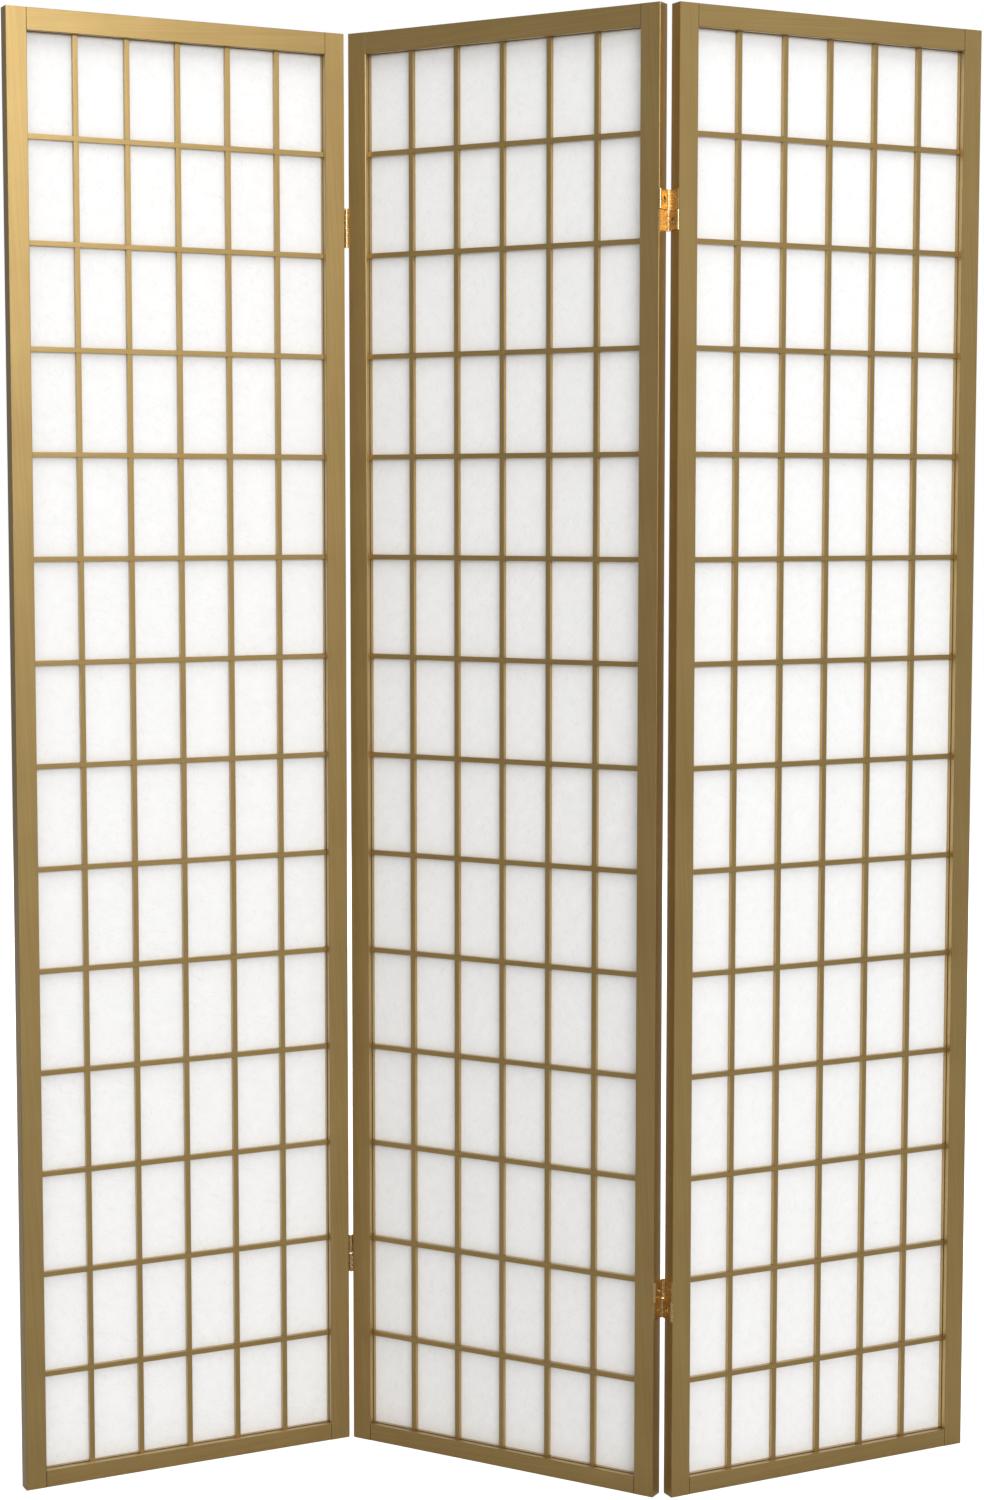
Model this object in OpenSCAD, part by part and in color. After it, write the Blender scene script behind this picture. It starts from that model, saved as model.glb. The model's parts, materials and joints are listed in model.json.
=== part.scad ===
// Three-panel folding shoji screen, free standing.
// Every panel is a pinned frame with a half-lapped lattice, a sheet of white paper behind it
// and battens that hold the paper from the back. Two-way link hinges join the panels.
// Frame: +Z up, X along the run of the screen, -Y is the lattice side.
// Origin: on the floor, in the middle of the centre panel's thickness.
// A panel is drawn upright and centred on the origin, then turned to its place.

/* [Panel frame] */
// Width of one panel
panel_w = 430; // [300:1:700]
// Height of the screen
panel_h = 1784; // [1200:1:2200]
// Thickness of the frame
panel_t = 19; // [16:0.5:28]
// Width of a stile, seen from the front
stile_w = 25.5; // [20:0.5:45]
// Height of the top rail
top_rail_h = 26.5; // [18:0.5:50]
// Height of the bottom rail
bottom_rail_h = 21.5; // [18:0.5:50]
// Chamfer along the long edges of the frame members
arris = 0.5; // [0.3:0.1:2]

/* [Lattice] */
// Number of columns of panes
columns = 6; // [2:1:8]
// Number of rows of panes
rows = 14; // [4:1:18]
// Face width of a lattice bar
bar_w = 6.2; // [4:0.1:12]
// Depth of a lattice bar, front to back
bar_t = 5.8; // [3:0.1:7]
// Step from the face of the frame back to the face of the lattice
lattice_recess = 7.4; // [1:0.1:8]
// How much shorter the lowest row is than the others
bottom_row_short = 3.5; // [0:0.5:20]
// Width of the thin strips that edge the lattice
strip_w = 0.8; // [0.6:0.1:4]
// Clearance at each end of the short strips and of the short battens
end_gap = 0.1; // [0.05:0.05:0.5]

/* [Paper] */
// Thickness of the paper sheet
paper_t = 0.4; // [0.3:0.1:0.8]
// Gap between the sheet's edge and the frame
paper_gap = 0.3; // [0.2:0.1:1]
// Width of the battens behind the paper
batten_w = 5; // [3:0.5:12]
// Step from the back of the frame in to the battens
batten_set = 0.6; // [0.2:0.1:1.5]

/* [Corner dowels] */
// Diameter of the dowels that join the rails to the stiles
dowel_d = 6; // [4:0.5:8]
// Length of a dowel
dowel_l = 30; // [20:1:36]
// Distance between the two dowels of a corner
dowel_pitch = 10; // [9:0.5:11]

/* [Hinges] */
// Gap between two panels that are opened flat
joint_gap = 4; // [3.8:0.1:9]
// Distance from a panel's face out to the pin line
axis_proud = 1.6; // [0.8:0.1:3]
// Height of a hinge leaf
hinge_h = 48; // [44:1:80]
// From the top of the panel down to the middle of the upper hinge
hinge_from_top = 238; // [100:1:500]
// From the floor up to the middle of the lower hinge
hinge_from_floor = 243; // [100:1:500]
// Thickness of the brass plate
plate_t = 1; // [0.8:0.1:1.2]
// Height left free between the upper and the lower row of knuckles
row_gap = 1; // [0.5:0.5:6]
// Number of knuckles in a row; the leaf has the first and the last
knuckles = 7; // [3:2:9]
// Diameter of the hinge pins
pin_d = 1.8; // [1.4:0.1:2]

/* [Hinge screws] */
// Shank diameter
screw_d = 2.8; // [2:0.1:3.5]
// Head diameter
screw_head_d = 5.6; // [4.5:0.1:6]
// Length of a screw, head included
screw_l = 16; // [10:1:18]

/* [Pose] */
// Angle by which each joint is folded from flat
fold_angle = 56; // [0:1:120]

/* [Hidden] */
$fn = 48;
eps = 0.01;
knuckle_gap = 0.2;     // between neighbouring knuckles, and from a knuckle to a plate
knuckle_side = 0.2;    // from a knuckle to the plane of a stile's edge
pin_clear = 0.07;      // radial, pin to knuckle
screw_clear = 0.06;    // radial, screw to plate and to wood
dowel_clear = 0.05;    // radial, dowel to hole
dowel_end = 0.5;       // room past each end of a dowel
recess_w = 0.7;        // width of the cross recess in a screw head
recess_share = 0.62;   // length of the cross recess over the head diameter
access_d = screw_head_d + 1.6;

open_w = panel_w - 2 * stile_w;
open_h = panel_h - top_rail_h - bottom_rail_h;
open_mid_z = bottom_rail_h + open_h / 2;
bar_front = -panel_t / 2 + lattice_recess;
bar_mid = bar_front + bar_t / 2;
bar_back = bar_front + bar_t;
paper_back = bar_back + paper_t;
batten_t = panel_t / 2 - batten_set - paper_back;
col_pitch = (open_w + bar_w) / columns;
row_pitch = (open_h + bar_w + bottom_row_short) / rows;
upright_x = [for (k = [1 : columns - 1]) -open_w / 2 - bar_w / 2 + k * col_pitch];
crossbar_z = [for (k = [1 : rows - 1]) panel_h - top_rail_h + bar_w / 2 - k * row_pitch];

joint_x = (panel_w + joint_gap) / 2;
axis_y = panel_t / 2 + axis_proud;
barrel_r = joint_gap / 2 - knuckle_side;
barrel_l = (hinge_h - row_gap) / 2;
plate_y = axis_y - barrel_r - knuckle_gap;
knuckle_h = (barrel_l - (knuckles - 1) * knuckle_gap) / knuckles;
knuckle_z = [for (k = [0 : knuckles - 1]) k * (knuckle_h + knuckle_gap)];
leaf_knuckles = [for (k = [0 : 2 : knuckles - 1]) knuckle_z[k]];
link_knuckles = [for (k = [1 : 2 : knuckles - 2]) knuckle_z[k]];
half_z = [hinge_h - barrel_l, 0];            // foot of the upper and lower half of a hinge
screw_z = [hinge_h - barrel_l / 2, barrel_l / 2];
hinge_z = [panel_h - hinge_from_top - hinge_h / 2, hinge_from_floor - hinge_h / 2];

gold = "#93804a";
gold_dark = "#7d6a3a";
paper_white = "#f6f5f0";
brass = "#c79a4c";
beech = "#d9bd8c";

// ---- places of the three panels ----

module on_centre_panel() {
    rotate([0, 0, -fold_angle / 2]) children();
}

// The left panel folds about the pin line in front of the joint.
module on_left_panel() {
    on_centre_panel()
        translate([-joint_x, -axis_y, 0])
            rotate([0, 0, fold_angle])
                translate([-joint_x, axis_y, 0]) children();
}

// The right panel folds about the pin line behind the joint.
module on_right_panel() {
    on_centre_panel()
        translate([joint_x, axis_y, 0])
            rotate([0, 0, fold_angle])
                translate([joint_x, -axis_y, 0]) children();
}

// ---- wood ----

// Outline of a frame member: sx by sy about the origin, with chamfered corners.
module member_outline(sx, sy) {
    polygon([
        [-sx / 2 + arris, -sy / 2], [sx / 2 - arris, -sy / 2],
        [sx / 2, -sy / 2 + arris], [sx / 2, sy / 2 - arris],
        [sx / 2 - arris, sy / 2], [-sx / 2 + arris, sy / 2],
        [-sx / 2, sy / 2 - arris], [-sx / 2, -sy / 2 + arris]
    ]);
}

// Dowel holes or dowels at one corner: x is the joint plane between rail and stile.
module corner_dowels(x, rail_mid_z, r, l) {
    for (side = [-1, 1])
        translate([x, 0, rail_mid_z + side * dowel_pitch / 2])
            rotate([0, 90, 0]) cylinder(r = r, h = l, center = true);
}

module all_dowels(r, l) {
    for (side = [-1, 1]) {
        corner_dowels(side * open_w / 2, panel_h - top_rail_h / 2, r, l);
        corner_dowels(side * open_w / 2, bottom_rail_h / 2, r, l);
    }
}

// A stile; side is -1 on the left of the panel, 1 on the right.
module stile(side, hinged) {
    color(gold_dark)
    difference() {
        translate([side * (panel_w - stile_w) / 2, 0, 0])
            linear_extrude(panel_h) member_outline(stile_w, panel_t);
        all_dowels(dowel_d / 2 + dowel_clear, dowel_l + 2 * dowel_end);
        if (hinged) edge_screws(side) screw_pilot();
    }
}

module rail(mid_z, h) {
    color(gold)
    difference() {
        translate([0, 0, mid_z])
            rotate([0, 90, 0])
                linear_extrude(open_w, center = true) member_outline(h, panel_t);
        all_dowels(dowel_d / 2 + dowel_clear, dowel_l + 2 * dowel_end);
    }
}

module top_rail() {
    rail(panel_h - top_rail_h / 2, top_rail_h);
}

module bottom_rail() {
    rail(bottom_rail_h / 2, bottom_rail_h);
}

module dowels() {
    color(beech) all_dowels(dowel_d / 2, dowel_l);
}

// ---- lattice ----

// A block of the lattice: centre x and z, size x and z, and its two depths.
module lattice_block(x, z, sx, sz, y0 = bar_front, y1 = bar_back) {
    translate([x - sx / 2, y0, z - sz / 2]) cube([sx, y1 - y0, sz]);
}

// Front half of every crossbar, cut out of what the crossbars lap over.
module crossbar_laps(x) {
    for (z = crossbar_z) lattice_block(x, z, 2 * bar_w, bar_w, bar_front - 1, bar_mid);
}

// Uprights run in the back half of the lattice where they meet the crossbars.
module uprights() {
    color(gold)
    for (x = upright_x)
        difference() {
            lattice_block(x, open_mid_z, bar_w, open_h);
            crossbar_laps(x);
            for (side = [-1, 1])
                lattice_block(x, open_mid_z + side * open_h / 2, 2 * bar_w, 2 * strip_w,
                              bar_mid, bar_back + 1);
        }
}

// Crossbars run in the front half where they meet the uprights.
module crossbars() {
    color(gold)
    for (z = crossbar_z)
        difference() {
            lattice_block(0, z, open_w, bar_w);
            for (x = upright_x)
                lattice_block(x, z, bar_w, 2 * bar_w, bar_mid, bar_back + 1);
            for (side = [-1, 1])
                lattice_block(side * open_w / 2, z, 2 * strip_w, 2 * bar_w,
                              bar_mid, bar_back + 1);
        }
}

// Thin strips round the lattice; the bar ends lap over them.
module edge_strips() {
    color(gold_dark)
    for (side = [-1, 1]) {
        difference() {
            lattice_block(side * (open_w - strip_w) / 2, open_mid_z, strip_w, open_h);
            crossbar_laps(side * (open_w - strip_w) / 2);
        }
        difference() {
            lattice_block(0, open_mid_z + side * (open_h - strip_w) / 2,
                          open_w - 2 * strip_w - 2 * end_gap, strip_w);
            for (x = upright_x)
                lattice_block(x, open_mid_z + side * open_h / 2, bar_w, 4 * strip_w,
                              bar_front - 1, bar_mid);
        }
    }
}

module paper() {
    color(paper_white)
        lattice_block(0, open_mid_z, open_w - 2 * paper_gap, open_h - 2 * paper_gap,
                      bar_back, paper_back);
}

// Battens behind the paper: two long ones and two short ones between them.
module battens() {
    color(gold)
    for (side = [-1, 1]) {
        lattice_block(side * (open_w - batten_w) / 2, open_mid_z, batten_w, open_h,
                      paper_back, paper_back + batten_t);
        lattice_block(0, open_mid_z + side * (open_h - batten_w) / 2,
                      open_w - 2 * batten_w - 2 * end_gap, batten_w,
                      paper_back, paper_back + batten_t);
    }
}

// ---- hinges ----
// A hinge is drawn round the middle plane of the gap, with its foot at z = 0.
// A left leaf lies on the panel to the left of the joint. It carries the front knuckles of
// the upper half and the back knuckles of the lower half. A right leaf is the same piece
// turned half round. Each half has a link plate from the front pin line to the back one.

module at_hinges(side) {
    for (z = hinge_z) translate([side * joint_x, 0, z]) children();
}

// Screw places on the edge of a panel, with +Z of the child pointing out of the wood.
module edge_screws(side) {
    for (z = hinge_z)
        for (dz = screw_z)
            translate([side * panel_w / 2, 0, z + dz]) rotate([0, side * 90, 0]) children();
}

module left_leaf_shape() {
    leaf_x = -joint_gap / 2;
    difference() {
        union() {
            translate([leaf_x, -plate_y, 0]) cube([plate_t, 2 * plate_y, hinge_h]);
            for (i = [0, 1]) {
                side = i == 0 ? -1 : 1;
                for (z = leaf_knuckles) {
                    translate([0, side * axis_y, half_z[i] + z])
                        cylinder(r = barrel_r, h = knuckle_h);
                    translate([leaf_x, side < 0 ? -axis_y : 0, half_z[i] + z])
                        cube([plate_t, axis_y, knuckle_h]);
                }
            }
        }
        for (i = [0, 1])
            translate([0, (i == 0 ? -1 : 1) * axis_y, half_z[i] - 1])
                cylinder(r = pin_d / 2 + pin_clear, h = barrel_l + 2);
        for (dz = screw_z)
            translate([leaf_x, 0, dz]) rotate([0, 90, 0]) screw_sink();
    }
}

module hinge_leaf(side) {
    color(brass) rotate([0, 0, side < 0 ? 0 : 180]) left_leaf_shape();
}

// A link plate; it takes the knuckles between those of the leaf, on both pin lines.
module hinge_link() {
    color(brass)
    difference() {
        union() {
            translate([-plate_t / 2, -plate_y, 0]) cube([plate_t, 2 * plate_y, barrel_l]);
            for (z = link_knuckles) {
                translate([-plate_t / 2, -axis_y, z]) cube([plate_t, 2 * axis_y, knuckle_h]);
                for (side = [-1, 1])
                    translate([0, side * axis_y, z]) cylinder(r = barrel_r, h = knuckle_h);
            }
        }
        for (side = [-1, 1])
            translate([0, side * axis_y, -1])
                cylinder(r = pin_d / 2 + pin_clear, h = barrel_l + 2);
        translate([0, 0, barrel_l / 2]) rotate([0, 90, 0])
            cylinder(d = access_d, h = 2 * plate_t, center = true);
    }
}

// Pins of one leaf: front and back, each through its own half of the hinge.
module leaf_pins(side) {
    color(brass)
    rotate([0, 0, side < 0 ? 0 : 180]) {
        translate([0, -axis_y, half_z[0]]) cylinder(d = pin_d, h = barrel_l);
        translate([0, axis_y, half_z[1]]) cylinder(d = pin_d, h = barrel_l);
    }
}

// Shank and cone of a screw; z = 0 is the face of the wood.
module screw_body(grow) {
    translate([0, 0, plate_t - screw_l - grow])
        cylinder(r = screw_d / 2 + grow, h = screw_l - plate_t + grow + eps);
    cylinder(r1 = screw_d / 2 + grow, r2 = screw_head_d / 2 + grow, h = plate_t);
}

module screw_pilot() {
    translate([0, 0, plate_t - screw_l - 0.5])
        cylinder(r = screw_d / 2 + screw_clear, h = screw_l);
}

module screw_sink() {
    translate([0, 0, -eps]) cylinder(r = screw_d / 2 + screw_clear, h = plate_t);
    cylinder(r1 = screw_d / 2 + screw_clear, r2 = screw_head_d / 2 + screw_clear, h = plate_t);
    translate([0, 0, plate_t - eps]) cylinder(r = screw_head_d / 2 + screw_clear, h = plate_t);
}

module screw() {
    color(brass)
    difference() {
        screw_body(0);
        for (turn = [0, 90])
            rotate([0, 0, turn])
                translate([0, 0, plate_t])
                    cube([screw_head_d * recess_share, recess_w, plate_t], center = true);
    }
}

// ---- sub-parts in place ----

module left_panel_left_stile() { on_left_panel() stile(-1, false); }
module left_panel_right_stile() { on_left_panel() stile(1, true); }
module left_panel_top_rail() { on_left_panel() top_rail(); }
module left_panel_bottom_rail() { on_left_panel() bottom_rail(); }
module left_panel_uprights() { on_left_panel() uprights(); }
module left_panel_crossbars() { on_left_panel() crossbars(); }
module left_panel_edge_strips() { on_left_panel() edge_strips(); }
module left_panel_paper() { on_left_panel() paper(); }
module left_panel_battens() { on_left_panel() battens(); }
module left_panel_dowels() { on_left_panel() dowels(); }
module left_panel_screws() { on_left_panel() edge_screws(1) screw(); }
module left_panel_hinge_pins() { on_left_panel() at_hinges(1) leaf_pins(-1); }

module centre_panel_left_stile() { on_centre_panel() stile(-1, true); }
module centre_panel_right_stile() { on_centre_panel() stile(1, true); }
module centre_panel_top_rail() { on_centre_panel() top_rail(); }
module centre_panel_bottom_rail() { on_centre_panel() bottom_rail(); }
module centre_panel_uprights() { on_centre_panel() uprights(); }
module centre_panel_crossbars() { on_centre_panel() crossbars(); }
module centre_panel_edge_strips() { on_centre_panel() edge_strips(); }
module centre_panel_paper() { on_centre_panel() paper(); }
module centre_panel_battens() { on_centre_panel() battens(); }
module centre_panel_dowels() { on_centre_panel() dowels(); }
module centre_panel_screws() {
    on_centre_panel() {
        edge_screws(-1) screw();
        edge_screws(1) screw();
    }
}
module centre_panel_hinge_pins() {
    on_centre_panel() {
        at_hinges(-1) leaf_pins(1);
        at_hinges(1) leaf_pins(-1);
    }
}

module right_panel_left_stile() { on_right_panel() stile(-1, true); }
module right_panel_right_stile() { on_right_panel() stile(1, false); }
module right_panel_top_rail() { on_right_panel() top_rail(); }
module right_panel_bottom_rail() { on_right_panel() bottom_rail(); }
module right_panel_uprights() { on_right_panel() uprights(); }
module right_panel_crossbars() { on_right_panel() crossbars(); }
module right_panel_edge_strips() { on_right_panel() edge_strips(); }
module right_panel_paper() { on_right_panel() paper(); }
module right_panel_battens() { on_right_panel() battens(); }
module right_panel_dowels() { on_right_panel() dowels(); }
module right_panel_screws() { on_right_panel() edge_screws(-1) screw(); }
module right_panel_hinge_pins() { on_right_panel() at_hinges(-1) leaf_pins(1); }

module at_hinge(side, which, half = 1) {
    translate([side * joint_x, 0, hinge_z[which] + half_z[half]]) children();
}

module left_top_hinge_left_leaf() { on_left_panel() at_hinge(1, 0) hinge_leaf(-1); }
module left_top_hinge_right_leaf() { on_centre_panel() at_hinge(-1, 0) hinge_leaf(1); }
module left_top_hinge_upper_link() { on_centre_panel() at_hinge(-1, 0, 0) hinge_link(); }
module left_top_hinge_lower_link() { on_left_panel() at_hinge(1, 0) hinge_link(); }
module left_bottom_hinge_left_leaf() { on_left_panel() at_hinge(1, 1) hinge_leaf(-1); }
module left_bottom_hinge_right_leaf() { on_centre_panel() at_hinge(-1, 1) hinge_leaf(1); }
module left_bottom_hinge_upper_link() { on_centre_panel() at_hinge(-1, 1, 0) hinge_link(); }
module left_bottom_hinge_lower_link() { on_left_panel() at_hinge(1, 1) hinge_link(); }
module right_top_hinge_left_leaf() { on_centre_panel() at_hinge(1, 0) hinge_leaf(-1); }
module right_top_hinge_right_leaf() { on_right_panel() at_hinge(-1, 0) hinge_leaf(1); }
module right_top_hinge_upper_link() { on_centre_panel() at_hinge(1, 0, 0) hinge_link(); }
module right_top_hinge_lower_link() { on_right_panel() at_hinge(-1, 0) hinge_link(); }
module right_bottom_hinge_left_leaf() { on_centre_panel() at_hinge(1, 1) hinge_leaf(-1); }
module right_bottom_hinge_right_leaf() { on_right_panel() at_hinge(-1, 1) hinge_leaf(1); }
module right_bottom_hinge_upper_link() { on_centre_panel() at_hinge(1, 1, 0) hinge_link(); }
module right_bottom_hinge_lower_link() { on_right_panel() at_hinge(-1, 1) hinge_link(); }

left_panel_left_stile();
left_panel_right_stile();
left_panel_top_rail();
left_panel_bottom_rail();
left_panel_uprights();
left_panel_crossbars();
left_panel_edge_strips();
left_panel_paper();
left_panel_battens();
left_panel_dowels();
left_panel_screws();
left_panel_hinge_pins();
centre_panel_left_stile();
centre_panel_right_stile();
centre_panel_top_rail();
centre_panel_bottom_rail();
centre_panel_uprights();
centre_panel_crossbars();
centre_panel_edge_strips();
centre_panel_paper();
centre_panel_battens();
centre_panel_dowels();
centre_panel_screws();
centre_panel_hinge_pins();
right_panel_left_stile();
right_panel_right_stile();
right_panel_top_rail();
right_panel_bottom_rail();
right_panel_uprights();
right_panel_crossbars();
right_panel_edge_strips();
right_panel_paper();
right_panel_battens();
right_panel_dowels();
right_panel_screws();
right_panel_hinge_pins();
left_top_hinge_left_leaf();
left_top_hinge_right_leaf();
left_top_hinge_upper_link();
left_top_hinge_lower_link();
left_bottom_hinge_left_leaf();
left_bottom_hinge_right_leaf();
left_bottom_hinge_upper_link();
left_bottom_hinge_lower_link();
right_top_hinge_left_leaf();
right_top_hinge_right_leaf();
right_top_hinge_upper_link();
right_top_hinge_lower_link();
right_bottom_hinge_left_leaf();
right_bottom_hinge_right_leaf();
right_bottom_hinge_upper_link();
right_bottom_hinge_lower_link();
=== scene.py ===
# Folding shoji screen: three gold-painted lattice panels with white paper and brass link hinges.
import json
import math

import bpy
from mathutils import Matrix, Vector


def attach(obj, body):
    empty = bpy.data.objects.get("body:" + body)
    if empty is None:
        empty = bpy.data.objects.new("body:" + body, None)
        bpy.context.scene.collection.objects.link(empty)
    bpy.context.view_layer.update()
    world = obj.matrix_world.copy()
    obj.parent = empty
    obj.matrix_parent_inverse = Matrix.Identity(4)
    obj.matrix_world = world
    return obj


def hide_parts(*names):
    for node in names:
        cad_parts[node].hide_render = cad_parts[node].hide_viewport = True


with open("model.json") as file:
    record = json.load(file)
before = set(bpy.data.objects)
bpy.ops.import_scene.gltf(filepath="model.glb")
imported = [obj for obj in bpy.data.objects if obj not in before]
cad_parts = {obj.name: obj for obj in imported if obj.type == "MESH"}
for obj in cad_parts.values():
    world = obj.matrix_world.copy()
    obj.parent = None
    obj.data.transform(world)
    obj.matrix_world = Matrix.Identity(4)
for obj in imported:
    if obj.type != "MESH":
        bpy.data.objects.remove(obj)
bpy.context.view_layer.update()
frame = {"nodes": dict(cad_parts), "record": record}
nodes = frame["nodes"]
mm = 0.001
print("frame loaded:", len(nodes), "nodes")

panelTurn = {"left": 28, "centre": -28, "right": 28}  # degrees from X to the panel's own width


def linearHex(code):
    # sRGB hex to the linear values that the shaders use
    values = [int(code[i:i + 2], 16) / 255 for i in (1, 3, 5)]
    linear = [v / 12.92 if v <= 0.04045 else ((v + 0.055) / 1.055) ** 2.4 for v in values]
    return (*linear, 1.0)


def addNode(tree, kind, settings=None, links=None):
    # a node with its settings (own properties or sockets) and what feeds its sockets
    node = tree.nodes.new(kind)
    for key, value in (settings or {}).items():
        if isinstance(key, str) and hasattr(node, key):
            setattr(node, key, value)
        else:
            node.inputs[key].default_value = value
    for key, source in (links or {}).items():
        tree.links.new(source, node.inputs[key])
    return node


def newMaterial(name):
    material = bpy.data.materials.new(name)
    material.use_nodes = True
    material.node_tree.nodes.clear()
    return material, material.node_tree


def finishMaterial(tree, shader):
    addNode(tree, "ShaderNodeOutputMaterial", links={"Surface": shader.outputs[0]})


goldPaint = {
    "paint": "#BC9E60",      # satin gold paint, mid tone
    "paintDark": "#A98A4F",  # where the soft early wood lets it sink in
    "seamShade": "#4E3E1E",       # painted shade: the shadow in the joint gaps between members, drawn as dark lines
    "arris": "#A08750",      # painted shade on the corners, drawn darker so that their highlights come out dimmer
    "metallic": 0.85,        # metal flake in a clear binder
    "roughness": 0.36,       # sprayed satin
    "arrisRoughness": 0.34,
    "binder": 0.7,           # clear film over the flake
    "binderRoughness": 0.32,
    "grainSpacing": 2.4,     # mm between growth lines
    "grainLength": 210.0,    # mm along the grain before a line wanders
    "grainLean": 3.0,        # degrees that the lines run out of true
    "grainDepth": 0.03,      # mm that the grain shows through the paint
    "grainWander": 0.8,      # how far the lines waver
    "grainEdges": (0.38, 0.6),  # noise levels where a line begins and is full
    "grainTone": 0.36,       # share of the colour change that follows the grain
    "patchTone": 0.78,       # share that follows the passes of the gun
    "peelSize": 1.1,         # mm, dimples of the sprayed coat
    "peelDepth": 0.004,
    "patchSize": 90.0,       # mm, heavier and lighter passes of the gun
    "upperJoint": 1.7575,    # m, underside of the top rail
    "lowerJoint": 0.0215,    # m, top of the bottom rail
}


def goldPaintedPine(name, turn, upright):
    # gold lacquer sprayed on pine: an even satin metal look, with the grain faintly raised
    material, tree = newMaterial(name)
    place = addNode(tree, "ShaderNodeTexCoord").outputs["Object"]
    turned = addNode(tree, "ShaderNodeMapping", {"Rotation": (0, 0, math.radians(-turn))},
                     {"Vector": place}).outputs[0]
    across = 1 / (goldPaint["grainSpacing"] * mm)
    along = 1 / (goldPaint["grainLength"] * mm)
    scale = (across, across, along) if upright else (along, across, across)
    leaned = addNode(tree, "ShaderNodeMapping",
                     {"Rotation": (0, math.radians(goldPaint["grainLean"]), 0)},
                     {"Vector": turned}).outputs[0]
    stretched = addNode(tree, "ShaderNodeMapping", {"Scale": scale}, {"Vector": leaned})
    grain = addNode(tree, "ShaderNodeTexNoise",
                    {"Scale": 1.0, "Detail": 3.0, "Roughness": 0.55,
                     "Distortion": goldPaint["grainWander"]},
                    {"Vector": stretched.outputs[0]}).outputs["Fac"]
    patches = addNode(tree, "ShaderNodeTexNoise",
                      {"Scale": 1 / (goldPaint["patchSize"] * mm), "Detail": 2.0},
                      {"Vector": turned}).outputs["Fac"]
    peel = addNode(tree, "ShaderNodeTexNoise",
                   {"Scale": 1 / (goldPaint["peelSize"] * mm), "Detail": 1.0},
                   {"Vector": turned}).outputs["Fac"]
    begins, full = goldPaint["grainEdges"]
    lines = addNode(tree, "ShaderNodeMapRange", {"From Min": begins, "From Max": full},
                    {"Value": grain}).outputs[0]
    passes = addNode(tree, "ShaderNodeMath",
                     {"operation": "MULTIPLY", 1: goldPaint["patchTone"]},
                     {0: patches}).outputs[0]
    tone = addNode(tree, "ShaderNodeMath",
                   {"operation": "MULTIPLY_ADD", 1: goldPaint["grainTone"]},
                   {0: lines, 2: passes}).outputs[0]
    colour = addNode(tree, "ShaderNodeMix",
                     {"data_type": "RGBA", 6: linearHex(goldPaint["paintDark"]),
                      7: linearHex(goldPaint["paint"])},
                     {0: tone}).outputs[2]
    # painted shade: the cut corners take a darker colour that dims their highlights
    arris = addNode(tree, "ShaderNodeAttribute", {"attribute_name": "arris"}).outputs["Fac"]
    colour = addNode(tree, "ShaderNodeMix",
                     {"data_type": "RGBA", 7: linearHex(goldPaint["arris"])},
                     {0: arris, 6: colour}).outputs[2]
    # painted shade in the joint lines: on a stile only beside the rails, on the others all along
    seamShade = addNode(tree, "ShaderNodeAttribute", {"attribute_name": "seamShade"}).outputs["Fac"]
    if upright:
        height = addNode(tree, "ShaderNodeSeparateXYZ", links={"Vector": place}).outputs["Z"]
        for operation, level in (("GREATER_THAN", goldPaint["upperJoint"]),
                                 ("LESS_THAN", goldPaint["lowerJoint"])):
            beside = addNode(tree, "ShaderNodeMath", {"operation": operation, 1: level},
                             {0: height}).outputs[0]
            jointShade = addNode(tree, "ShaderNodeMath", {"operation": "MULTIPLY"},
                            {0: beside, 1: seamShade}).outputs[0]
            colour = addNode(tree, "ShaderNodeMix",
                             {"data_type": "RGBA", 7: linearHex(goldPaint["seamShade"])},
                             {0: jointShade, 6: colour}).outputs[2]
    else:
        colour = addNode(tree, "ShaderNodeMix",
                         {"data_type": "RGBA", 7: linearHex(goldPaint["seamShade"])},
                         {0: seamShade, 6: colour}).outputs[2]
    rough = addNode(tree, "ShaderNodeMapRange",
                    {"From Min": 0.0, "From Max": 1.0, "To Min": goldPaint["roughness"],
                     "To Max": goldPaint["arrisRoughness"]}, {"Value": arris}).outputs[0]
    bump = addNode(tree, "ShaderNodeBump",
                   {"Strength": 1.0, "Distance": goldPaint["grainDepth"] * mm},
                   {"Height": grain}).outputs[0]
    bump = addNode(tree, "ShaderNodeBump",
                   {"Strength": 1.0, "Distance": goldPaint["peelDepth"] * mm},
                   {"Height": peel, "Normal": bump}).outputs[0]
    shader = addNode(tree, "ShaderNodeBsdfPrincipled",
                     {"Metallic": goldPaint["metallic"], "Coat Weight": goldPaint["binder"],
                      "Coat Roughness": goldPaint["binderRoughness"]},
                     {"Base Color": colour, "Roughness": rough, "Normal": bump})
    finishMaterial(tree, shader)
    return material


shojiPaper = {
    "sheet": "#F5F5F5",    # bleached pulp
    "cloud": "#ECECEC",    # where the pulp lies thinner
    "fibre": "#D6D6D3",    # long fibres, a little warmer
    "cloudSize": 14.0,     # mm, thick and thin places in the pulp
    "fibreLength": 16.0,   # mm, long mulberry fibres
    "fibreWidth": 0.9,     # mm, drawn coarser than the real 0.03 mm so that they show
    "fibreLayers": ((12, 0.0), (68, 3.7), (-41, 9.1)),  # lean in degrees, and a shift
    "fibreEdges": (0.62, 0.76),  # noise levels where a fibre begins and is full
    "fibreStrength": 0.35,
    "relief": 0.15,        # mm, hills and hollows of the sheet
    "roughness": 0.95,
    "sheen": 0.2,          # specular level of bare pulp
}


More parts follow.
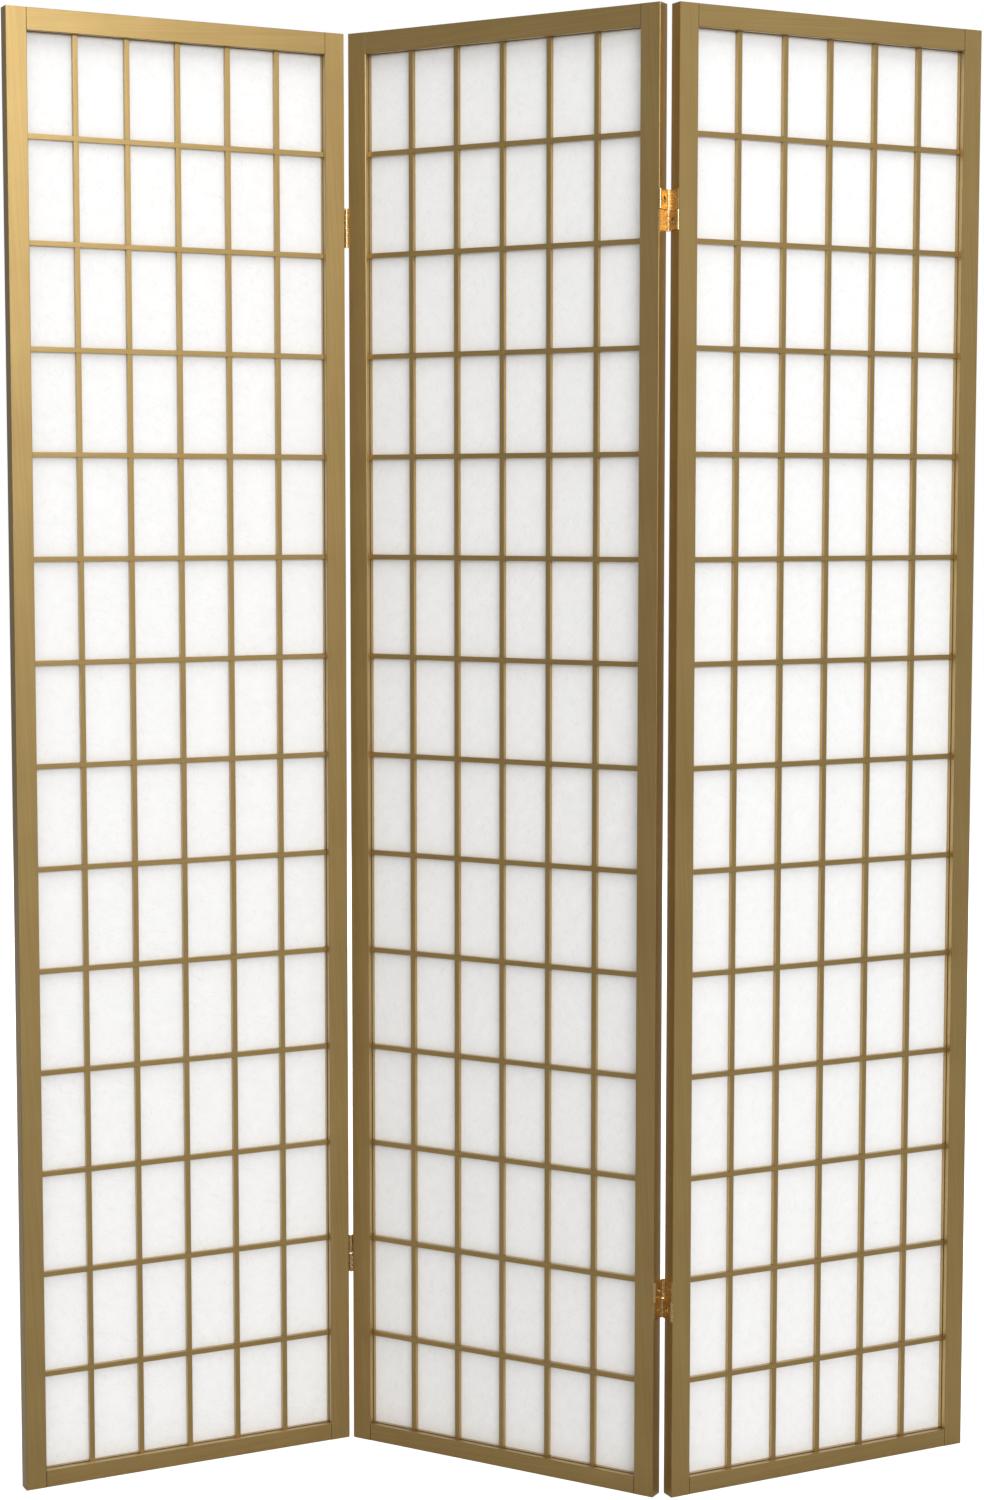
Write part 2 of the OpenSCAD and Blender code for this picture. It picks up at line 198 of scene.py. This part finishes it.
def fibrePaper(name, turn):
    # machine-made fibre paper: matt white, with soft clouds and long fibres in the sheet
    material, tree = newMaterial(name)
    place = addNode(tree, "ShaderNodeTexCoord").outputs["Object"]
    turned = addNode(tree, "ShaderNodeMapping", {"Rotation": (0, 0, math.radians(-turn))},
                     {"Vector": place}).outputs[0]
    cloud = addNode(tree, "ShaderNodeTexNoise",
                    {"Scale": 1 / (shojiPaper["cloudSize"] * mm), "Detail": 3.0,
                     "Roughness": 0.65}, {"Vector": turned}).outputs["Fac"]
    colour = addNode(tree, "ShaderNodeMix",
                     {"data_type": "RGBA", 6: linearHex(shojiPaper["cloud"]),
                      7: linearHex(shojiPaper["sheet"])}, {0: cloud}).outputs[2]
    along = 1 / (shojiPaper["fibreLength"] * mm)
    across = 1 / (shojiPaper["fibreWidth"] * mm)
    begins, full = shojiPaper["fibreEdges"]
    for lean, shift in shojiPaper["fibreLayers"]:
        leaned = addNode(tree, "ShaderNodeMapping", {"Rotation": (0, math.radians(lean), 0)},
                         {"Vector": turned}).outputs[0]
        drawn = addNode(tree, "ShaderNodeMapping",
                        {"Location": (shift, shift, shift), "Scale": (across, across, along)},
                        {"Vector": leaned}).outputs[0]
        threads = addNode(tree, "ShaderNodeTexNoise",
                          {"Scale": 1.0, "Detail": 1.0},
                          {"Vector": drawn}).outputs["Fac"]
        thin = addNode(tree, "ShaderNodeMapRange",
                       {"From Min": begins, "From Max": full,
                        "To Max": shojiPaper["fibreStrength"]},
                       {"Value": threads}).outputs[0]
        colour = addNode(tree, "ShaderNodeMix",
                         {"data_type": "RGBA", 7: linearHex(shojiPaper["fibre"])},
                         {0: thin, 6: colour}).outputs[2]
    bump = addNode(tree, "ShaderNodeBump",
                   {"Strength": 1.0, "Distance": shojiPaper["relief"] * mm},
                   {"Height": cloud}).outputs[0]
    shader = addNode(tree, "ShaderNodeBsdfPrincipled",
                     {"Roughness": shojiPaper["roughness"],
                      "Specular IOR Level": shojiPaper["sheen"]},
                     {"Base Color": colour, "Normal": bump})
    finishMaterial(tree, shader)
    return material


brassPlate = {
    "colour": "#EED6A4",
    "dull": "#CFAB76",       # handled and slightly tarnished
    "roughness": 0.26,       # pressed from bright rolled strip
    "tarnishSize": 5.0,      # mm
    "tarnishRoughness": 0.1,  # added where it is dull
    "polishRoughness": 0.06,  # taken off where it is bright
    "drawSpacing": 0.25,     # mm between rolling lines
    "drawLength": 6.0,       # mm
    "drawDepth": 0.002,      # mm
}


def pressedBrass(name):
    # bright rolled brass, pressed and barrel polished: warm sharp reflections, faint lines
    material, tree = newMaterial(name)
    place = addNode(tree, "ShaderNodeTexCoord").outputs["Object"]
    tarnish = addNode(tree, "ShaderNodeTexNoise",
                      {"Scale": 1 / (brassPlate["tarnishSize"] * mm), "Detail": 3.0},
                      {"Vector": place}).outputs["Fac"]
    colour = addNode(tree, "ShaderNodeMix",
                     {"data_type": "RGBA", 6: linearHex(brassPlate["dull"]),
                      7: linearHex(brassPlate["colour"])}, {0: tarnish}).outputs[2]
    rough = addNode(tree, "ShaderNodeMapRange",
                    {"To Min": brassPlate["roughness"] + brassPlate["tarnishRoughness"],
                     "To Max": brassPlate["roughness"] - brassPlate["polishRoughness"]},
                    {"Value": tarnish}).outputs[0]
    along = 1 / (brassPlate["drawLength"] * mm)
    across = 1 / (brassPlate["drawSpacing"] * mm)
    lines = addNode(tree, "ShaderNodeMapping", {"Scale": (along, along, across)},
                    {"Vector": place}).outputs[0]
    drawn = addNode(tree, "ShaderNodeTexNoise", {"Scale": 1.0, "Detail": 1.0},
                    {"Vector": lines}).outputs["Fac"]
    bump = addNode(tree, "ShaderNodeBump",
                   {"Strength": 1.0, "Distance": brassPlate["drawDepth"] * mm},
                   {"Height": drawn}).outputs[0]
    shader = addNode(tree, "ShaderNodeBsdfPrincipled", {"Metallic": 1.0},
                     {"Base Color": colour, "Roughness": rough, "Normal": bump})
    finishMaterial(tree, shader)
    return material


beechDowel = {
    "pale": "#DFC595",
    "fleck": "#C9A873",
    "flecksPerMetre": (300, 300, 1500),
    "roughness": 0.6,        # bare wood
}


def turnedBeech(name):
    # fluted beech dowel stock: pale, fine grained, not finished
    material, tree = newMaterial(name)
    place = addNode(tree, "ShaderNodeTexCoord").outputs["Object"]
    flecks = addNode(tree, "ShaderNodeMapping", {"Scale": beechDowel["flecksPerMetre"]},
                     {"Vector": place}).outputs[0]
    fleck = addNode(tree, "ShaderNodeTexNoise", {"Scale": 1.0, "Detail": 2.0},
                    {"Vector": flecks}).outputs["Fac"]
    colour = addNode(tree, "ShaderNodeMix",
                     {"data_type": "RGBA", 6: linearHex(beechDowel["fleck"]),
                      7: linearHex(beechDowel["pale"])}, {0: fleck}).outputs[2]
    shader = addNode(tree, "ShaderNodeBsdfPrincipled", {"Roughness": beechDowel["roughness"]},
                     {"Base Color": colour})
    finishMaterial(tree, shader)
    return material


uprightGold = {side: goldPaintedPine("goldPaintedPineUpright_" + side, turn, True)
               for side, turn in panelTurn.items()}
crossGold = {side: goldPaintedPine("goldPaintedPineCross_" + side, turn, False)
             for side, turn in panelTurn.items()}
paperLook = {side: fibrePaper("mulberryFibrePaper_" + side, turn)
             for side, turn in panelTurn.items()}
brassLook = pressedBrass("pressedBrass")
beechLook = turnedBeech("turnedBeech")


def setLook(piece, material):
    piece.data.materials.clear()
    piece.data.materials.append(material)


def lookOf(node):
    side = node.split("_")[0]
    if "hinge" in node or node.endswith("screws"):
        return brassLook
    if node.endswith("paper"):
        return paperLook[side]
    if node.endswith("dowels"):
        return beechLook
    if node.endswith(("stile", "uprights")):
        return uprightGold[side]
    return crossGold[side]


for nodeName, piece in nodes.items():
    setLook(piece, lookOf(nodeName))
print("materials set")

cleaning = {
    "merge": 0.002,  # mm within which corners of the CAD triangles are one
    "flat": 0.4,     # degrees below which two faces count as one flat face
    "sharp": 30,     # degrees from which an edge is eased or shaded hard
    "square": 0.995,  # a face this near to square on is flat, not a cut corner
    "facing": 0.2,   # share of sideways in the normal of a corner that meets a member
}
easing = {  # mm taken off each sharp edge, and steps in the round
    "stile": (0.2, 2), "rail": (0.35, 2), "uprights": (0.25, 2), "crossbars": (0.25, 2),
    "strips": (0.35, 2), "battens": (0.4, 2), "leaf": (0.12, 2), "link": (0.12, 2),
    "pins": (0.15, 2), "screws": (0.15, 2),
}


def selectOnly(piece):
    bpy.ops.object.select_all(action="DESELECT")
    piece.select_set(True)
    bpy.context.view_layer.objects.active = piece


def cleanCopy(nodeName, pieceName):
    # a merged copy of a CAD node's mesh, its flat faces joined again
    piece = bpy.data.objects.new(pieceName, nodes[nodeName].data.copy())
    bpy.context.collection.objects.link(piece)
    selectOnly(piece)
    bpy.ops.object.mode_set(mode="EDIT")
    bpy.ops.mesh.select_all(action="SELECT")
    bpy.ops.mesh.remove_doubles(threshold=cleaning["merge"] * mm)
    bpy.ops.mesh.dissolve_limited(angle_limit=math.radians(cleaning["flat"]))
    bpy.ops.object.mode_set(mode="OBJECT")
    return piece


def easeEdges(piece, width, steps):
    selectOnly(piece)
    bevel = piece.modifiers.new("easedEdges", "BEVEL")
    bevel.width = width * mm
    bevel.segments = steps
    bevel.limit_method = "ANGLE"
    bevel.angle_limit = math.radians(cleaning["sharp"])
    bevel.harden_normals = False
    bpy.ops.object.modifier_apply(modifier="easedEdges")
    bpy.ops.object.shade_smooth()
    level = piece.modifiers.new("flatFaces", "WEIGHTED_NORMAL")
    level.mode = "FACE_AREA"
    level.weight = 100
    bpy.ops.object.modifier_apply(modifier="flatFaces")


def markArris(piece, turn):
    # 1 on the faces that cut a corner, 0 on the flat ones
    axes = [Vector((math.cos(turn), math.sin(turn), 0)),
            Vector((-math.sin(turn), math.cos(turn), 0)), Vector((0, 0, 1))]
    # these faces take painted shade on the corners in the gold paint
    layer = piece.data.attributes.new("arris", "FLOAT", "FACE")
    for face, value in zip(piece.data.polygons, layer.data):
        squareOn = max(abs(face.normal.dot(a)) for a in axes) > cleaning["square"]
        value.value = 0.0 if squareOn else 1.0
    # 1 on the cut corners that meet another member: rail ends, strips, a stile's inner side
    # these faces take the painted shade of the joint lines
    seamShade = piece.data.attributes.new("seamShade", "FLOAT", "FACE")
    inner = 1 if "left_stile" in piece.name else -1
    for face, corner, value in zip(piece.data.polygons, layer.data, seamShade.data):
        sideways = face.normal.dot(axes[0])
        meets = ("strips" in piece.name
                 or "rail" in piece.name and abs(sideways) > cleaning["facing"]
                 or "stile" in piece.name and sideways * inner > cleaning["facing"])
        value.value = corner.value if meets else 0.0


def bodyOf(nodeName):
    for body, names in frame["record"]["behaviour"]["bodies"].items():
        if nodeName in names:
            return body


for nodeName in list(nodes):
    kind = nodeName.split("_")[-1]
    if kind not in easing:
        continue
    side = nodeName.split("_")[0]
    piece = cleanCopy(nodeName, nodeName + "_eased")
    easeEdges(piece, *easing[kind])
    if lookOf(nodeName) is not brassLook:
        markArris(piece, math.radians(panelTurn[side]))
    setLook(piece, lookOf(nodeName))
    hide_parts(nodeName)
    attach(piece, bodyOf(nodeName))
print("frame, lattice and hinges eased")

paperShape = {
    "columns": 6, "rows": 14, "steps": 6,  # panes, and grid steps across each pane
    "thickness": 0.4,                      # mm
    "sag": (0.25, 0.2, 0.12),              # mm further back, ring by ring to a pane's middle
}


def makePaper(side):
    # one sheet glued behind the lattice, slack enough to belly back a little in each pane
    turn = math.radians(panelTurn[side])
    axes = [Vector((math.cos(turn), math.sin(turn), 0)),
            Vector((-math.sin(turn), math.cos(turn), 0)), Vector((0, 0, 1))]
    points = [v.co for v in nodes[side + "_panel_paper"].data.vertices]
    low = [min(p.dot(a) for p in points) for a in axes]
    high = [max(p.dot(a) for p in points) for a in axes]
    width, height = high[0] - low[0], high[2] - low[2]
    middle = (axes[0] * (low[0] + high[0]) / 2 + axes[1] * low[1]
              + axes[2] * (low[2] + high[2]) / 2)
    steps = paperShape["steps"]
    across, up = paperShape["columns"] * steps, paperShape["rows"] * steps
    bpy.ops.object.select_all(action="DESELECT")
    bpy.ops.mesh.primitive_grid_add(x_subdivisions=across, y_subdivisions=up, size=1,
                                    location=middle, rotation=(math.pi / 2, 0, turn))
    sheet = bpy.context.object
    sheet.name = side + "_panel_paper_sheet"
    sheet.scale = (width, height, 1)
    bpy.ops.object.transform_apply(location=True, rotation=True, scale=True)
    for ring, depth in enumerate(paperShape["sag"], 1):
        bpy.ops.object.mode_set(mode="EDIT")
        bpy.ops.mesh.select_all(action="DESELECT")
        bpy.ops.object.mode_set(mode="OBJECT")
        for vertex in sheet.data.vertices:
            i = round((vertex.co.dot(axes[0]) - low[0]) / width * across) % steps
            j = round((vertex.co.z - low[2]) / height * up) % steps
            vertex.select = min(i, steps - i, j, steps - j) >= ring
        bpy.ops.object.mode_set(mode="EDIT")
        bpy.ops.transform.translate(value=axes[1] * depth * mm)
        bpy.ops.object.mode_set(mode="OBJECT")
    thick = sheet.modifiers.new("sheetThickness", "SOLIDIFY")
    thick.thickness = paperShape["thickness"] * mm
    thick.offset = -1
    bpy.ops.object.modifier_apply(modifier="sheetThickness")
    bpy.ops.object.shade_smooth_by_angle(angle=math.radians(cleaning["sharp"]))
    setLook(sheet, paperLook[side])
    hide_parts(side + "_panel_paper")
    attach(sheet, bodyOf(side + "_panel_paper"))


for side in panelTurn:
    makePaper(side)
print("paper sheets made")

paleFloor = {
    "size": 60.0,           # m, so that its far edge lies beyond the view
    "below": 0.0005,        # m under the feet
    "seen": "#F7F7F7",      # what the camera sees, with a glow that makes it paper white
    "glow": 0.6,
    "roughness": 0.9,
    "mirrored": "#A8A8A8",  # greyer in the gold, as a floor that darkens away from the light
    "bounced": "#F4F4F4",   # what it gives back to the room
}

bpy.ops.mesh.primitive_plane_add(size=paleFloor["size"], location=(0, 0, -paleFloor["below"]))
floor = bpy.context.object
floor.name = "studioFloor"
floorMaterial, floorTree = newMaterial("paleFloor")
seen = addNode(floorTree, "ShaderNodeBsdfPrincipled",
               {"Base Color": linearHex(paleFloor["seen"]),
                "Roughness": paleFloor["roughness"], "Emission Color": (1, 1, 1, 1),
                "Emission Strength": paleFloor["glow"]})
mirrored = addNode(floorTree, "ShaderNodeBsdfDiffuse",
                   {"Color": linearHex(paleFloor["mirrored"])})
bounced = addNode(floorTree, "ShaderNodeBsdfDiffuse",
                  {"Color": linearHex(paleFloor["bounced"])})
path = addNode(floorTree, "ShaderNodeLightPath")
indirect = addNode(floorTree, "ShaderNodeMixShader", None,
                   {0: path.outputs["Is Diffuse Ray"], 1: mirrored.outputs[0],
                    2: bounced.outputs[0]})
finishMaterial(floorTree, addNode(floorTree, "ShaderNodeMixShader", None,
                                  {0: path.outputs["Is Camera Ray"], 1: indirect.outputs[0],
                                   2: seen.outputs[0]}))
setLook(floor, floorMaterial)

studio = {
    "bright": (0.55, -0.45, 0.70),  # where the room is brightest: overhead, front right
    "dim": 0.15,                    # radiance at the far side
    "full": 0.53,                   # radiance in the bright direction
    "wall": 1.0,                    # the pale wall that the camera sees
}

world = bpy.data.worlds.new("whiteStudio")
bpy.context.scene.world = world
world.use_nodes = True
worldTree = world.node_tree
worldTree.nodes.clear()
look = addNode(worldTree, "ShaderNodeTexCoord").outputs["Generated"]
facing = addNode(worldTree, "ShaderNodeVectorMath",
                 {"operation": "DOT_PRODUCT", 1: Vector(studio["bright"]).normalized()},
                 {0: look}).outputs["Value"]
glow = addNode(worldTree, "ShaderNodeMapRange",
               {"From Min": -1.0, "From Max": 1.0, "To Min": studio["dim"],
                "To Max": studio["full"]}, {"Value": facing}).outputs[0]
room = addNode(worldTree, "ShaderNodeBackground", {"Color": (1, 1, 1, 1)}, {"Strength": glow})
paleWall = addNode(worldTree, "ShaderNodeBackground",
                   {"Color": (1, 1, 1, 1), "Strength": studio["wall"]})
direct = addNode(worldTree, "ShaderNodeLightPath").outputs["Is Camera Ray"]
both = addNode(worldTree, "ShaderNodeMixShader", None,
               {0: direct, 1: room.outputs[0], 2: paleWall.outputs[0]})
addNode(worldTree, "ShaderNodeOutputWorld", links={"Surface": both.outputs[0]})

# softboxes: degrees to the right of the front and above level, metres, and watts
keyLight = {"azimuth": 20, "elevation": 17, "distance": 7.0, "wide": 4.2, "high": 2.0,
            "watts": 184}
topLight = {"azimuth": 15, "elevation": 62, "distance": 5.0, "wide": 4.0, "high": 3.0,
            "watts": 97}
backLight = {"azimuth": 185, "elevation": 20, "distance": 6.0, "wide": 4.0, "high": 3.0,
             "watts": 150}


middleHeight = 0.95  # m, about half way up the screen


def addSoftbox(name, facts):
    azimuth = math.radians(facts["azimuth"])
    elevation = math.radians(facts["elevation"])
    target = Vector((0, 0, middleHeight))
    away = Vector((math.sin(azimuth) * math.cos(elevation),
                   -math.cos(azimuth) * math.cos(elevation), math.sin(elevation)))
    bpy.ops.object.light_add(type="AREA", location=target + away * facts["distance"])
    lamp = bpy.context.object
    lamp.name = name
    lamp.rotation_mode = "QUATERNION"
    lamp.rotation_quaternion = (-away).to_track_quat("-Z", "Y")
    lamp.data.shape = "RECTANGLE"
    lamp.data.size = facts["wide"]
    lamp.data.size_y = facts["high"]
    lamp.data.energy = facts["watts"]
    return lamp


addSoftbox("keySoftbox", keyLight)
addSoftbox("topSoftbox", topLight)
addSoftbox("backSoftbox", backLight).visible_camera = False

bpy.context.scene.view_settings.view_transform = "Standard"

cameraPlace = {
    "location": (0.0749, -3.2596, 1.1968),
    "turn": 1.663,            # degrees to the left of +Y
    "tilt": -4.742,           # degrees below the horizon
    "lens": 63.87,            # mm on a 36 mm long side
    "shift": (0.00376, -0.01331),
}
bpy.ops.object.camera_add(location=cameraPlace["location"])
camera = bpy.context.object
camera.rotation_euler = (math.radians(90 + cameraPlace["tilt"]), 0,
                         math.radians(cameraPlace["turn"]))
camera.data.lens = cameraPlace["lens"]
camera.data.sensor_width = 36
camera.data.shift_x, camera.data.shift_y = cameraPlace["shift"]
bpy.context.scene.camera = camera
print("stage, light and camera ready")
